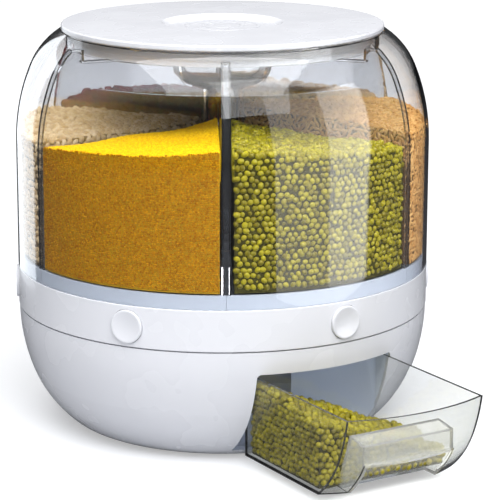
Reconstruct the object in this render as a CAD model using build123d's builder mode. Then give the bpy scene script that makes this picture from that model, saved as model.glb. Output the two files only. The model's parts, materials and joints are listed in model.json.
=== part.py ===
from build123d import *
from math import asin, cos, degrees, radians, sin, sqrt
import os

os.makedirs("parts", exist_ok=True)

# Rotating dry-food dispenser. Millimetres, +Z up, origin on the floor at the middle of the base.
# The drawer slides out along -Y and is drawn pulled out.

# Driving dimensions of the body
body_r = 150.0          # outside radius of the ring and of the clear wall
shell_wall = 2.6        # wall of the white mouldings
clear_wall = 2.6        # wall of the clear mouldings
seam_z = 87.0           # top of the base
seam_gap = 0.8          # turning gap above the base
ring_top_z = 117.0      # top of the turning ring, where the clear wall starts
rim_top_z = 127.0       # top of the hopper's rim, seen through the clear wall
compartments = 6        # compartments, buttons and gates
turn_of_gates = 3.2     # degrees from the middle of a compartment to its button

# Outline of the base, three arcs from the seam down to the foot
base_seam_r = body_r - 0.4
bowl_upper_r = 128.5
bowl_lower_r = 86.0
bowl_break_z = 40.0     # height where the upper arc meets the lower one
heel_z = 5.9            # height where the lower arc meets the heel
foot_width = 13.0       # width of the foot flange
foot_pad_z = 1.0        # how far the rubber ring stands out below the base

# Outline of the clear wall, two arcs from the straight wall up to the neck
shoulder_z = 208.0
shoulder_upper_r = 52.4
shoulder_lower_r = 140.0
shoulder_turn = 22.7    # degrees turned by the lower arc
neck_turn = 60.7        # degrees turned at the neck
neck_lip = 6.5          # width of the neck's top
neck_depth = 11.5

# Clearances
fit_gap = 0.3           # between neighbours that are fitted by hand
slide_gap = 0.8         # around the drawer
shaft_gap = 0.06        # radial running fit of the turntable on its spindle
glue_gap = 0.1          # between pieces that are glued

# Drawer
drawer_half_w = 54.5
drawer_floor_z = 8.5
drawer_top_z = 67.8
drawer_wall = 2.0
drawer_rear = 12.0      # from the axis to the back of the closed drawer
drawer_out = body_r - 41.0  # how far it is pulled out
drawer_inset = 1.6      # closed, its front lies this far inside the base's outline
opening_top_z = 71.0
opening_bottom_z = 7.3
opening_corner_r = 3.0

# Gates and buttons
outlet_r = body_r - 46.0  # middle of the outlets
outlet_long = 10.0      # radial length of an outlet
outlet_wide = 34.0
window_seal = 1.5       # how far the closed window lies outside the outlet
gate_travel = outlet_long + window_seal
button_r = 11.75
button_z = 102.2
button_proud = 1.6
cap_depth = 6.5
pressed_cap_r = body_r + button_proud - cap_depth - gate_travel  # back of the cap, pressed


# Turns of the base's arcs, in radians, and the radius of the heel that ends flat on the floor
bowl_turn_1 = asin((seam_z - bowl_break_z) / bowl_upper_r)
bowl_turn_2 = asin(sin(bowl_turn_1) + (bowl_break_z - heel_z) / bowl_lower_r) - bowl_turn_1
heel_r = (heel_z - foot_pad_z) / (1 - sin(bowl_turn_1 + bowl_turn_2))
heel_turn = radians(90) - bowl_turn_1 - bowl_turn_2
bowl_arcs = [(bowl_upper_r, bowl_turn_1), (bowl_lower_r, bowl_turn_2), (heel_r, heel_turn)]
bend_1 = cos(bowl_turn_1)
bend_2 = cos(bowl_turn_1 + bowl_turn_2)
foot_r = base_seam_r - bowl_upper_r * (1 - bend_1) - bowl_lower_r * (bend_1 - bend_2) - heel_r * bend_2
foot_inner_r = foot_r - foot_width

# Outside radius of the neck, from the turns of the shoulder's arcs
lean_1 = cos(radians(shoulder_turn))
lean_2 = cos(radians(neck_turn))
neck_outer_r = body_r - shoulder_lower_r * (1 - lean_1) - shoulder_upper_r * (lean_1 - lean_2)
neck_bore_r = neck_outer_r - neck_lip


def bowl_radius(z, inset=0.0):
    """Radius of the base at height z, on its upper arc, inset by a wall."""
    return base_seam_r - bowl_upper_r + sqrt((bowl_upper_r - inset) ** 2 - (seam_z - z) ** 2)


def bowl_curve(inset=0.0):
    """Draws the base's outline from the seam down to the foot and gives its two ends."""
    start = (base_seam_r - inset, seam_z)
    arc = JernArc(start, (0, -1), bowl_arcs[0][0] - inset, -degrees(bowl_arcs[0][1]))
    for radius, turn in bowl_arcs[1:]:
        arc = JernArc(arc @ 1, arc % 1, radius - inset, -degrees(turn))
    return start, arc @ 1


def shoulder_curve(inset=0.0):
    """Draws the clear wall's outline from the straight wall up to the neck and gives its ends."""
    start = (body_r - inset, shoulder_z)
    low = JernArc(start, (0, 1), shoulder_lower_r - inset, shoulder_turn)
    high = JernArc(low @ 1, low % 1, shoulder_upper_r - inset, neck_turn - shoulder_turn)
    return start, high @ 1


def radial_plane(angle):
    """Upright plane through the axis: its x runs outward at the angle, its y runs up."""
    outward = (cos(radians(angle)), sin(radians(angle)), 0)
    return Plane(origin=(0, 0, 0), x_dir=outward, z_dir=(outward[1], -outward[0], 0))


def radial_floor(angle, z):
    """Level plane at height z: its x runs outward at the angle."""
    outward = (cos(radians(angle)), sin(radians(angle)), 0)
    return Plane(origin=(0, 0, z), x_dir=outward, z_dir=(0, 0, 1))


def facing_plane(angle, z, r):
    """Upright plane at radius r that faces outward at the angle: its x runs up."""
    outward = (cos(radians(angle)), sin(radians(angle)), 0)
    return Plane(origin=(0, 0, z), x_dir=(0, 0, 1), z_dir=outward).offset(r)


compartment_step = 360 / compartments
compartment_angles = [-90 + compartment_step * k for k in range(compartments)]
divider_angles = [angle + compartment_step / 2 for angle in compartment_angles]
gate_angles = [angle + turn_of_gates for angle in compartment_angles]

# Levels inside the base
plate_bottom_z = foot_pad_z + shell_wall
plate_thick = 2.4
plate_top_z = plate_bottom_z + plate_thick
tunnel_ceiling_z = opening_top_z - 0.6
tunnel_wall = 1.8
tunnel_top_z = tunnel_ceiling_z + tunnel_wall
ledge_thick = 2.0
deck_z = tunnel_top_z + fit_gap + ledge_thick
deck_thick = 3.0
deck_top_z = deck_z + deck_thick
deck_r = bowl_radius(deck_z, shell_wall) - 0.5
ledge_reach = 4.0       # how far the ledge reaches under the deck



def wall_outline():
    """Draws the section of the base's wall, from the seam down to the foot flange."""
    outer_top, outer_foot = bowl_curve()
    inner_top, inner_foot = bowl_curve(inset=shell_wall)
    Line(outer_top, inner_top)
    Polyline(
        outer_foot,
        (foot_inner_r, foot_pad_z),
        (foot_inner_r, plate_bottom_z),
        inner_foot,
    )


# Base shell: a deep bowl on the bottom plate's heel, with the drawer's opening and a ledge for the deck
with BuildPart() as base_shell:
    with BuildSketch(Plane.XZ):
        with BuildLine():
            wall_outline()
        make_face()
    revolve(axis=Axis.Z)
    with BuildSketch(Plane.XY):
        Circle(body_r)
    extrude(amount=opening_bottom_z, mode=Mode.SUBTRACT)
    with BuildSketch(Plane.XY.offset(deck_z - ledge_thick)):
        Circle(bowl_radius(deck_z - ledge_thick, shell_wall) + shell_wall / 3)
        Circle(deck_r - ledge_reach, mode=Mode.SUBTRACT)
    extrude(amount=ledge_thick)
    with BuildSketch(Plane.XZ.offset(drawer_rear)):
        opening_h = opening_top_z - opening_bottom_z + opening_corner_r
        with Locations((0, opening_top_z - opening_h / 2)):
            RectangleRounded(2 * (drawer_half_w + slide_gap), opening_h, opening_corner_r)
    extrude(amount=body_r, mode=Mode.SUBTRACT)
base_shell.part.label = "base_shell"
export_step(base_shell.part, "parts/base_shell.step")

# Where the screws stand that tie the bottom plate to the deck
pillar_ring_r = foot_inner_r - 8.0
pillar_angles = [-18.4, 46, 134, 198.4]
pillar_spots = [(pillar_ring_r * cos(radians(a)), pillar_ring_r * sin(radians(a))) for a in pillar_angles]
pillar_r = 5.0
screw_r = 1.6
screw_head_r = 3.4
screw_head_h = 2.2
screw_long = 16.0
screw_seat_z = foot_pad_z + 0.6

# Bottom plate: carries the base's heel and foot flange, and two runners for the drawer
runner_x = 40.0
runner_w = 3.0
runner_long = 88.0
plate_r = foot_inner_r + 8.0
with BuildPart() as bottom_plate:
    with BuildSketch(Plane.XZ):
        with BuildLine():
            wall_outline()
        make_face()
    revolve(axis=Axis.Z)
    with BuildSketch(Plane.XY.offset(opening_bottom_z)):
        Circle(body_r)
    extrude(amount=body_r, mode=Mode.SUBTRACT)
    with BuildSketch(Plane.XY.offset(plate_bottom_z)):
        Circle(plate_r)
    extrude(amount=plate_thick)
    with BuildSketch(Plane.XY.offset(screw_seat_z)):
        Circle(foot_inner_r)
    extrude(amount=plate_bottom_z - screw_seat_z)
    with BuildSketch(Plane.XY.offset(plate_top_z)):
        with Locations((-runner_x, -runner_long / 2), (runner_x, -runner_long / 2)):
            Rectangle(runner_w, runner_long)
    extrude(amount=drawer_floor_z - fit_gap - plate_top_z)
    with BuildSketch(Plane.XY.offset(screw_seat_z)):
        with Locations(*pillar_spots):
            Circle(screw_r + 0.15)
    extrude(amount=plate_top_z - screw_seat_z, mode=Mode.SUBTRACT)
    with BuildSketch(Plane.XY.offset(screw_seat_z)):
        with Locations(*pillar_spots):
            Circle(screw_head_r + fit_gap)
    extrude(amount=screw_head_h, mode=Mode.SUBTRACT)
bottom_plate.part.label = "bottom_plate"
export_step(bottom_plate.part, "parts/bottom_plate.step")

# Rubber ring under the foot flange
foot_ring_inner_r = foot_inner_r + 2.0
foot_ring_w = 6.0
with BuildPart() as rubber_foot:
    with BuildSketch():
        Circle(foot_ring_inner_r + foot_ring_w)
        Circle(foot_ring_inner_r, mode=Mode.SUBTRACT)
    extrude(amount=foot_pad_z)
rubber_foot.part.label = "rubber_foot"
export_step(rubber_foot.part, "parts/rubber_foot.step")

# Bearing: a ring of balls between the deck and the turntable
ball_r = 2.5
ball_ring_r = body_r - 18.0
ball_count = 8
track_half_w = 5.0
track_h = 1.6
track_lip = 2.0
lower_track_z = deck_top_z + track_h
ball_z = lower_track_z + fit_gap + ball_r
upper_track_z = ball_z + ball_r + fit_gap

# Levels inside the turntable
ring_bottom_z = seam_z + seam_gap
flange_thick = 2.2
carrier_z = ring_bottom_z + flange_thick
carrier_thick = 2.4
gate_z = carrier_z + carrier_thick + fit_gap
gate_thick = 2.0
collar_bottom_z = gate_z + gate_thick + fit_gap
floor_wall = 2.4
outlet_floor_z = 103.0

# Deck: closes the base, carries the lower ball track, the spindle and the outlet funnel
spindle_r = 8.0
spindle_boss_r = 14.0
spindle_foot_z = tunnel_top_z + fit_gap
spindle_flange_z = 84.0
chute_wall = 1.8
chute_long = 20.0       # radial inside length at the top
chute_wide = 50.0
chute_play = 1.0        # hole for the funnel, wider than the funnel by this
chute_outer_w = chute_wide + 2 * chute_wall
chute_outer_l = chute_long + 2 * chute_wall
with BuildPart() as base_deck:
    with BuildSketch(Plane.XY.offset(deck_z)):
        Circle(deck_r)
    extrude(amount=deck_thick)
    with BuildSketch(Plane.XY.offset(deck_top_z)):
        Circle(ball_ring_r + track_half_w)
        Circle(ball_ring_r - track_half_w, mode=Mode.SUBTRACT)
    extrude(amount=lower_track_z - deck_top_z)
    with BuildSketch(Plane.XY.offset(deck_top_z)):
        Circle(ball_ring_r + track_half_w + track_lip)
        Circle(ball_ring_r + track_half_w, mode=Mode.SUBTRACT)
    extrude(amount=ball_z - deck_top_z)
    with BuildSketch(Plane.XY.offset(spindle_foot_z)):
        Circle(spindle_boss_r)
    extrude(amount=spindle_flange_z - spindle_foot_z)
    with BuildSketch(Plane.XY.offset(plate_top_z)):
        with Locations(*pillar_spots):
            Circle(pillar_r)
    extrude(amount=deck_z - plate_top_z)
    with BuildSketch(Plane.XY.offset(plate_top_z)):
        with Locations(*pillar_spots):
            Circle(screw_r)
    extrude(amount=screw_long, mode=Mode.SUBTRACT)
    with Locations((0, 0, deck_top_z)):
        Hole(spindle_r + shaft_gap)
    with BuildSketch(Plane.XY.offset(deck_z)):
        with Locations((0, -outlet_r)):
            Rectangle(chute_outer_w + chute_play, chute_outer_l + chute_play)
    extrude(amount=deck_thick, mode=Mode.SUBTRACT)
base_deck.part.label = "base_deck"
export_step(base_deck.part, "parts/base_deck.step")

# Screws from below, through the bottom plate into the deck's pillars
with BuildPart() as base_screws:
    with BuildSketch(Plane.XY.offset(screw_seat_z)):
        with Locations(*pillar_spots):
            Circle(screw_head_r)
    extrude(amount=screw_head_h)
    with BuildSketch(Plane.XY.offset(screw_seat_z + screw_head_h)):
        with Locations(*pillar_spots):
            Circle(screw_r - 0.05)
    extrude(amount=screw_long)
base_screws.part.label = "base_screws"
export_step(base_screws.part, "parts/base_screws.step")

# Drawer tunnel: side walls and ceiling that guide the drawer, cut to the inside of the bowl
tunnel_half_w = drawer_half_w + slide_gap
tunnel_rear = drawer_rear - 4
stop_half_w = 15.0
stop_thick = 2.0
stop_tab_h = 1.6        # height of the drawer's tab above its rim
stop_rib_z = drawer_top_z + 0.8
with BuildPart() as drawer_tunnel:
    with BuildSketch(Plane.XZ.offset(tunnel_rear)):
        with BuildLine():
            Polyline(
                (-tunnel_half_w - tunnel_wall, plate_top_z),
                (-tunnel_half_w - tunnel_wall, tunnel_ceiling_z + tunnel_wall),
                (tunnel_half_w + tunnel_wall, tunnel_ceiling_z + tunnel_wall),
                (tunnel_half_w + tunnel_wall, plate_top_z),
                (tunnel_half_w, plate_top_z),
                (tunnel_half_w, tunnel_ceiling_z),
                (-tunnel_half_w, tunnel_ceiling_z),
                (-tunnel_half_w, plate_top_z),
                close=True,
            )
        make_face()
    extrude(amount=body_r)
    with BuildSketch(Plane.XZ):
        with BuildLine():
            inside_top, inside_foot = bowl_curve(inset=shell_wall + fit_gap)
            Polyline(inside_top, (0, seam_z), (0, inside_foot.Y), inside_foot)
        make_face()
    revolve(axis=Axis.Z, mode=Mode.INTERSECT)
    with BuildSketch(Plane.XY.offset(tunnel_ceiling_z)):
        with Locations((0, -outlet_r)):
            Rectangle(chute_outer_w + chute_play, chute_outer_l + chute_play)
    extrude(amount=tunnel_wall, mode=Mode.SUBTRACT)
    with BuildSketch(Plane.XY.offset(stop_rib_z)):
        with Locations((0, -drawer_out - drawer_rear - drawer_wall - fit_gap)):
            Rectangle(2 * stop_half_w, stop_thick, align=(Align.CENTER, Align.MAX))
    extrude(amount=tunnel_ceiling_z - stop_rib_z)
drawer_tunnel.part.label = "drawer_tunnel"
export_step(drawer_tunnel.part, "parts/drawer_tunnel.step")

# Outlet funnel: hangs in the deck by its flange, from just under the turntable to the drawer
chute_top_z = carrier_z - 0.7
chute_bottom_z = drawer_top_z + 2.0
chute_narrow = 4.0
chute_flange = 4.0
chute_flange_thick = 1.5
with BuildPart() as outlet_funnel:
    with BuildSketch(Plane.XY.offset(deck_top_z)) as waist:
        with Locations((0, -outlet_r)):
            Rectangle(chute_outer_w, chute_outer_l)
    with BuildSketch(Plane.XY.offset(chute_bottom_z)) as mouth:
        with Locations((0, -outlet_r)):
            Rectangle(chute_outer_w - 2 * chute_narrow, chute_outer_l - chute_narrow)
    loft(sections=[mouth.sketch, waist.sketch])
    extrude(waist.sketch, amount=chute_top_z - deck_top_z)
    with BuildSketch(Plane.XY.offset(deck_top_z)):
        with Locations((0, -outlet_r)):
            Rectangle(chute_outer_w + 2 * chute_flange, chute_outer_l + 2 * chute_flange)
    extrude(amount=chute_flange_thick)
    with BuildSketch(Plane.XY.offset(deck_top_z)) as waist_hole:
        with Locations((0, -outlet_r)):
            Rectangle(chute_wide, chute_long)
    with BuildSketch(Plane.XY.offset(chute_bottom_z)) as mouth_hole:
        with Locations((0, -outlet_r)):
            Rectangle(chute_wide - 2 * chute_narrow, chute_long - chute_narrow)
    loft(sections=[mouth_hole.sketch, waist_hole.sketch], mode=Mode.SUBTRACT)
    extrude(waist_hole.sketch, amount=chute_top_z - deck_top_z, mode=Mode.SUBTRACT)
outlet_funnel.part.label = "outlet_funnel"
export_step(outlet_funnel.part, "parts/outlet_funnel.step")

# Spindle: stepped pin in the deck's boss, with a flange under the turntable's hub
hub_bottom_z = 88.3
hub_top_z = 113.0
spindle_flange_r = 13.0
pilot_depth = 14.0
with BuildPart() as spindle:
    with BuildSketch(Plane.XY.offset(spindle_foot_z)):
        Circle(spindle_r)
    extrude(amount=hub_top_z + fit_gap - spindle_foot_z)
    with BuildSketch(Plane.XY.offset(spindle_flange_z)):
        Circle(spindle_flange_r)
    extrude(amount=hub_bottom_z - fit_gap - spindle_flange_z)
    with Locations((0, 0, hub_top_z + fit_gap)):
        Hole(screw_r, depth=pilot_depth)
    chamfer(spindle.edges().filter_by(GeomType.CIRCLE).sort_by(Axis.Z)[0], 1.0)
spindle.part.label = "spindle"
export_step(spindle.part, "parts/spindle.step")

# Washer and screw that keep the turntable on the spindle
washer_r = 11.5
washer_thick = 1.2
with BuildPart() as spindle_washer:
    with BuildSketch(Plane.XY.offset(hub_top_z + fit_gap)):
        Circle(washer_r)
        Circle(screw_r + 0.2, mode=Mode.SUBTRACT)
    extrude(amount=washer_thick)
spindle_washer.part.label = "spindle_washer"
export_step(spindle_washer.part, "parts/spindle_washer.step")

with BuildPart() as spindle_screw:
    with BuildSketch(Plane.XY.offset(hub_top_z + fit_gap + washer_thick)):
        Circle(screw_head_r + 0.8)
    extrude(amount=screw_head_h)
    fillet(spindle_screw.faces().sort_by(Axis.Z)[-1].edges(), 0.8)
    with BuildSketch(Plane.XY.offset(hub_top_z + fit_gap + washer_thick)):
        Circle(screw_r - 0.05)
    extrude(amount=-12)
spindle_screw.part.label = "spindle_screw"
export_step(spindle_screw.part, "parts/spindle_screw.step")

# Ball cage and its balls
cage_half_w = 4.5
cage_thick = 2.2
with BuildPart() as ball_cage:
    with BuildSketch(Plane.XY.offset(ball_z - cage_thick / 2)):
        Circle(ball_ring_r + cage_half_w)
        Circle(ball_ring_r - cage_half_w, mode=Mode.SUBTRACT)
        with PolarLocations(ball_ring_r, ball_count):
            Circle(ball_r + fit_gap, mode=Mode.SUBTRACT)
    extrude(amount=cage_thick)
ball_cage.part.label = "ball_cage"
export_step(ball_cage.part, "parts/ball_cage.step")

with BuildPart() as bearing_balls:
    with Locations((0, 0, ball_z)):
        with PolarLocations(ball_ring_r, ball_count):
            Sphere(ball_r)
bearing_balls.part.label = "bearing_balls"
export_step(bearing_balls.part, "parts/bearing_balls.step")

# Turning ring: white band with a guide sleeve for each button
sleeve_wall = 1.5
sleeve_inner_end = body_r - 10.5
sleeve_bore_r = button_r + fit_gap
flange_inner_r = ball_ring_r + track_half_w + 2.5
with BuildPart() as turntable_ring:
    with BuildSketch(Plane.XZ):
        with BuildLine():
            Polyline(
                (body_r, ring_bottom_z),
                (body_r, ring_top_z),
                (body_r - shell_wall, ring_top_z),
                (body_r - shell_wall, carrier_z),
                (flange_inner_r, carrier_z),
                (flange_inner_r, ring_bottom_z),
                close=True,
            )
        make_face()
    revolve(axis=Axis.Z)
    fillet(turntable_ring.edges().filter_by(GeomType.CIRCLE).filter_by(lambda e: e.radius == body_r), 0.7)
    for angle in gate_angles:
        with BuildSketch(radial_plane(angle)):
            with BuildLine():
                Polyline(
                    (sleeve_inner_end, button_z),
                    (sleeve_inner_end, button_z + sleeve_bore_r + sleeve_wall),
                    (body_r - shell_wall / 2, button_z + sleeve_bore_r + sleeve_wall),
                    (body_r - shell_wall / 2, button_z),
                    close=True,
                )
            make_face()
        outward = radial_plane(angle).x_dir
        revolve(axis=Axis((0, 0, button_z), outward))
        with BuildSketch(facing_plane(angle, button_z, sleeve_inner_end)):
            Circle(sleeve_bore_r)
        extrude(amount=body_r, mode=Mode.SUBTRACT)
turntable_ring.part.label = "turntable_ring"
export_step(turntable_ring.part, "parts/turntable_ring.step")

# Hopper: one V-shaped funnel for each compartment, side by side around a hub
rim_r = body_r - clear_wall - 0.4
rim_wall = 2.4
rim_skirt = 6.0         # how far the rim reaches down inside the ring
knee_r = 24.0           # edge of the flat middle
valley_half = 7.0       # half of the level strip that holds an outlet
funnel_slope = (rim_top_z - outlet_floor_z) / (outlet_r - valley_half - knee_r)
seam_turn = 0.1         # degrees between neighbouring funnels
funnel_turn = compartment_step - seam_turn
collar_wall = 1.8
hub_r = 16.5
lip_r = knee_r + 4.0    # lip of the hub, under the funnels' inner edges
lip_thick = 2.0
column_r = 15.4
column_wall = 2.0
spigot_h = 5.0
spigot_r = column_r - column_wall - 0.2


def funnel_under(r):
    """Height of a funnel's underside on its inner slope."""
    return rim_top_z - floor_wall - funnel_slope * (r - knee_r)


# Hub: runs on the spindle, carries the funnels' inner edges and the centre column
with BuildPart() as hopper_hub:
    with BuildSketch(Plane.XZ):
        with BuildLine():
            lip_top_z = funnel_under(lip_r) - glue_gap
            Polyline(
                (0, hub_bottom_z),
                (hub_r, hub_bottom_z),
                (hub_r, lip_top_z - lip_thick),
                (lip_r, lip_top_z - lip_thick),
                (lip_r, lip_top_z),
                (knee_r - glue_gap, funnel_under(knee_r) - glue_gap),
                (knee_r - glue_gap, rim_top_z),
                (0, rim_top_z),
                close=True,
            )
        make_face()
    revolve(axis=Axis.Z)
    with BuildSketch(Plane.XY.offset(rim_top_z)):
        Circle(spigot_r)
        Circle(spigot_r - column_wall, mode=Mode.SUBTRACT)
    extrude(amount=spigot_h)
    with BuildSketch(Plane.XY.offset(hub_bottom_z)):
        Circle(spindle_r + shaft_gap)
    extrude(amount=hub_top_z - hub_bottom_z, mode=Mode.SUBTRACT)
    with BuildSketch(Plane.XY.offset(hub_top_z)):
        Circle(washer_r + 1)
    extrude(amount=rim_top_z - floor_wall - hub_top_z, mode=Mode.SUBTRACT)
hopper_hub.part.label = "hopper_hub"
export_step(hopper_hub.part, "parts/hopper_hub.step")

# Funnels: each has its outlet's collar, a boss for its screw and its part of the rim
screw_ring_r = outlet_r - 32.0
screw_boss_r = 3.4
screw_boss_h = funnel_under(screw_ring_r - screw_boss_r) + 0.05 - carrier_z - carrier_thick
for number, angle in enumerate(gate_angles, start=1):
    with BuildPart() as hopper:
        with BuildSketch(radial_plane(angle - turn_of_gates - funnel_turn / 2)):
            with BuildLine():
                Polyline(
                    (knee_r, rim_top_z),
                    (outlet_r - valley_half, outlet_floor_z),
                    (outlet_r + valley_half, outlet_floor_z),
                    (rim_r - rim_wall, rim_top_z),
                    (rim_r, rim_top_z),
                    (rim_r, ring_top_z - rim_skirt),
                    (rim_r - rim_wall, ring_top_z - rim_skirt),
                    (rim_r - rim_wall, rim_top_z - 1.25 * floor_wall),
                    (outlet_r + valley_half, outlet_floor_z - floor_wall),
                    (outlet_r - valley_half, outlet_floor_z - floor_wall),
                    (knee_r, rim_top_z - floor_wall),
                    close=True,
                )
            make_face()
        revolve(axis=Axis.Z, revolution_arc=funnel_turn)
        with BuildSketch(radial_floor(angle, collar_bottom_z)):
            with Locations((outlet_r, 0)):
                Rectangle(outlet_long + 2 * collar_wall, outlet_wide + 2 * collar_wall)
        extrude(amount=outlet_floor_z - floor_wall / 2 - collar_bottom_z)
        with BuildSketch(radial_floor(angle, collar_bottom_z)):
            with Locations((outlet_r, 0)):
                Rectangle(outlet_long, outlet_wide)
        extrude(amount=outlet_floor_z - collar_bottom_z, mode=Mode.SUBTRACT)
        with BuildSketch(facing_plane(angle, button_z, sleeve_inner_end - 2)):
            Circle(sleeve_bore_r + sleeve_wall + fit_gap)
        extrude(amount=body_r, mode=Mode.SUBTRACT)
        with BuildSketch(radial_floor(angle, carrier_z + carrier_thick)):
            with Locations((screw_ring_r, 0)):
                Circle(screw_boss_r)
                Circle(screw_r, mode=Mode.SUBTRACT)
        extrude(amount=screw_boss_h)
    hopper.part.label = f"hopper_{number}"
    export_step(hopper.part, f"parts/hopper_{number}.step")

# Gate carrier: plate under the hopper with a window and two rails for each gate
gate_half_w = outlet_wide / 2 + 2.5
rail_w = 2.0
rail_start = outlet_r - 16.0
rail_end = outlet_r + 22.0
window_play = 2.0       # carrier windows, larger than the outlets by this
carrier_head_h = 1.6
carrier_screw_long = 9.0
with BuildPart() as gate_carrier:
    with BuildSketch(Plane.XY.offset(carrier_z)):
        Circle(rim_r - 0.4)
        Circle(hub_r + 0.7, mode=Mode.SUBTRACT)
    extrude(amount=carrier_thick)
    with BuildSketch(Plane.XY.offset(upper_track_z)):
        Circle(ball_ring_r + track_half_w)
        Circle(ball_ring_r - track_half_w, mode=Mode.SUBTRACT)
    extrude(amount=carrier_z - upper_track_z)
    for angle in gate_angles:
        with BuildSketch(radial_floor(angle, carrier_z)):
            with Locations((outlet_r, 0)):
                Rectangle(outlet_long + window_play, outlet_wide + window_play)
        extrude(amount=carrier_thick, mode=Mode.SUBTRACT)
        with BuildSketch(radial_floor(angle, carrier_z + carrier_thick)):
            rail_mid = (rail_start + rail_end) / 2
            rail_y = gate_half_w + fit_gap + rail_w / 2
            with Locations((rail_mid, -rail_y), (rail_mid, rail_y)):
                Rectangle(rail_end - rail_start, rail_w)
        extrude(amount=gate_thick + fit_gap)
        with BuildSketch(facing_plane(angle, button_z, pressed_cap_r - 2 * fit_gap)):
            Circle(sleeve_bore_r + sleeve_wall + fit_gap)
        extrude(amount=body_r, mode=Mode.SUBTRACT)
    with BuildSketch(Plane.XY.offset(carrier_z)):
        with PolarLocations(screw_ring_r, compartments, start_angle=gate_angles[0]):
            Circle(screw_r + 0.2)
    extrude(amount=carrier_thick, mode=Mode.SUBTRACT)
gate_carrier.part.label = "gate_carrier"
export_step(gate_carrier.part, "parts/gate_carrier.step")

# Screws from below, through the carrier into the funnels' bosses
with BuildPart() as carrier_screws:
    with BuildSketch(Plane.XY.offset(carrier_z - carrier_head_h)):
        with PolarLocations(screw_ring_r, compartments, start_angle=gate_angles[0]):
            Circle(screw_head_r)
    extrude(amount=carrier_head_h)
    with BuildSketch(Plane.XY.offset(carrier_z)):
        with PolarLocations(screw_ring_r, compartments, start_angle=gate_angles[0]):
            Circle(screw_r - 0.05)
    extrude(amount=carrier_thick + carrier_screw_long)
carrier_screws.part.label = "carrier_screws"
export_step(carrier_screws.part, "parts/carrier_screws.step")

# Gates, buttons and springs
gate_inner = outlet_r - 8.0
gate_outer = body_r - 13.0
tab_thick = 3.0
tab_half_w = 7.0
tab_top_z = button_z + 4.3
stem_r = 4.0
cap_edge = 0.8          # rounding of the button's edge
dish_rim_r = button_r - 1.6
button_dish = 1.1       # depth of the dished face
button_dish_r = (dish_rim_r ** 2 + button_dish ** 2) / (2 * button_dish)
spring_r = 2.6
spring_wall = 0.7
spring_z = 97.7
for number, angle in enumerate(gate_angles, start=1):
    outward = radial_plane(angle).x_dir
    with BuildPart() as gate:
        with BuildSketch(radial_floor(angle, gate_z)):
            with Locations(((gate_inner + gate_outer) / 2, 0)):
                Rectangle(gate_outer - gate_inner, 2 * gate_half_w)
            with Locations((outlet_r + outlet_long + window_seal, 0)):
                Rectangle(outlet_long, outlet_wide, mode=Mode.SUBTRACT)
        extrude(amount=gate_thick)
        with BuildSketch(radial_floor(angle, gate_z + gate_thick)):
            with Locations((gate_outer - tab_thick / 2, 0)):
                Rectangle(tab_thick, 2 * tab_half_w)
        extrude(amount=tab_top_z - gate_z - gate_thick)
    gate.part.label = f"gate_{number}"
    export_step(gate.part, f"parts/gate_{number}.step")

    with BuildPart() as button:
        face_x = body_r + button_proud
        with BuildSketch(radial_plane(angle)):
            with BuildLine():
                Polyline(
                    (gate_outer, button_z),
                    (gate_outer, button_z + stem_r),
                    (face_x - cap_depth, button_z + stem_r),
                    (face_x - cap_depth, button_z + button_r),
                    (face_x, button_z + button_r),
                    (face_x, button_z),
                    close=True,
                )
            make_face()
        revolve(axis=Axis((0, 0, button_z), outward))
        fillet(button.edges().filter_by(GeomType.CIRCLE).sort_by(Axis((0, 0, 0), outward))[-1], cap_edge)
        dish_x = face_x - button_dish + button_dish_r
        with Locations((outward.X * dish_x, outward.Y * dish_x, button_z)):
            Sphere(button_dish_r, mode=Mode.SUBTRACT)
    button.part.label = f"button_{number}"
    export_step(button.part, f"parts/button_{number}.step")

    spring_start = outlet_r + outlet_long / 2 + collar_wall + fit_gap
    spring_end = gate_outer - tab_thick - fit_gap
    with BuildPart() as spring:
        with BuildSketch(facing_plane(angle, spring_z, spring_start)):
            Circle(spring_r)
            Circle(spring_r - spring_wall, mode=Mode.SUBTRACT)
        extrude(amount=spring_end - spring_start)
    spring.part.label = f"spring_{number}"
    export_step(spring.part, f"parts/spring_{number}.step")

# Clear wall: straight drum with a rounded shoulder and a neck for the lid
with BuildPart() as dome_shell:
    with BuildSketch(Plane.XZ):
        with BuildLine():
            outer_low, outer_neck = shoulder_curve()
            inner_low, inner_neck = shoulder_curve(inset=clear_wall)
            neck_bottom_z = outer_neck.Y - neck_depth
            Polyline(outer_low, (body_r, ring_top_z), (body_r - clear_wall, ring_top_z), inner_low)
            Polyline(
                outer_neck,
                (neck_bore_r, outer_neck.Y),
                (neck_bore_r, neck_bottom_z),
                (neck_bore_r + clear_wall, neck_bottom_z),
                (neck_bore_r + clear_wall, inner_neck.Y),
                inner_neck,
            )
        make_face()
    revolve(axis=Axis.Z)
neck_z = outer_neck.Y
dome_shell.part.label = "dome_shell"
export_step(dome_shell.part, "parts/dome_shell.step")

# Centre column and its cup-shaped head
head_seat_z = 245.0
head_top_z = 272.0
head_r = 36.0
head_round_r = 14.0
head_turn = 75.0
head_spigot = 8.0
with BuildPart() as center_column:
    with BuildSketch(Plane.XY.offset(rim_top_z)):
        Circle(column_r)
        Circle(column_r - column_wall, mode=Mode.SUBTRACT)
    extrude(amount=head_seat_z - rim_top_z)
center_column.part.label = "center_column"
export_step(center_column.part, "parts/center_column.step")


def head_curve(inset=0.0):
    """Draws the cup's side from its rim down to its foot and gives its ends."""
    side = Line((head_r - inset, head_top_z), (head_r - inset, head_seat_z + head_round_r + 3))
    bend = JernArc(side @ 1, (0, -1), head_round_r - inset, -head_turn)
    return side @ 0, bend @ 1


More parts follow.
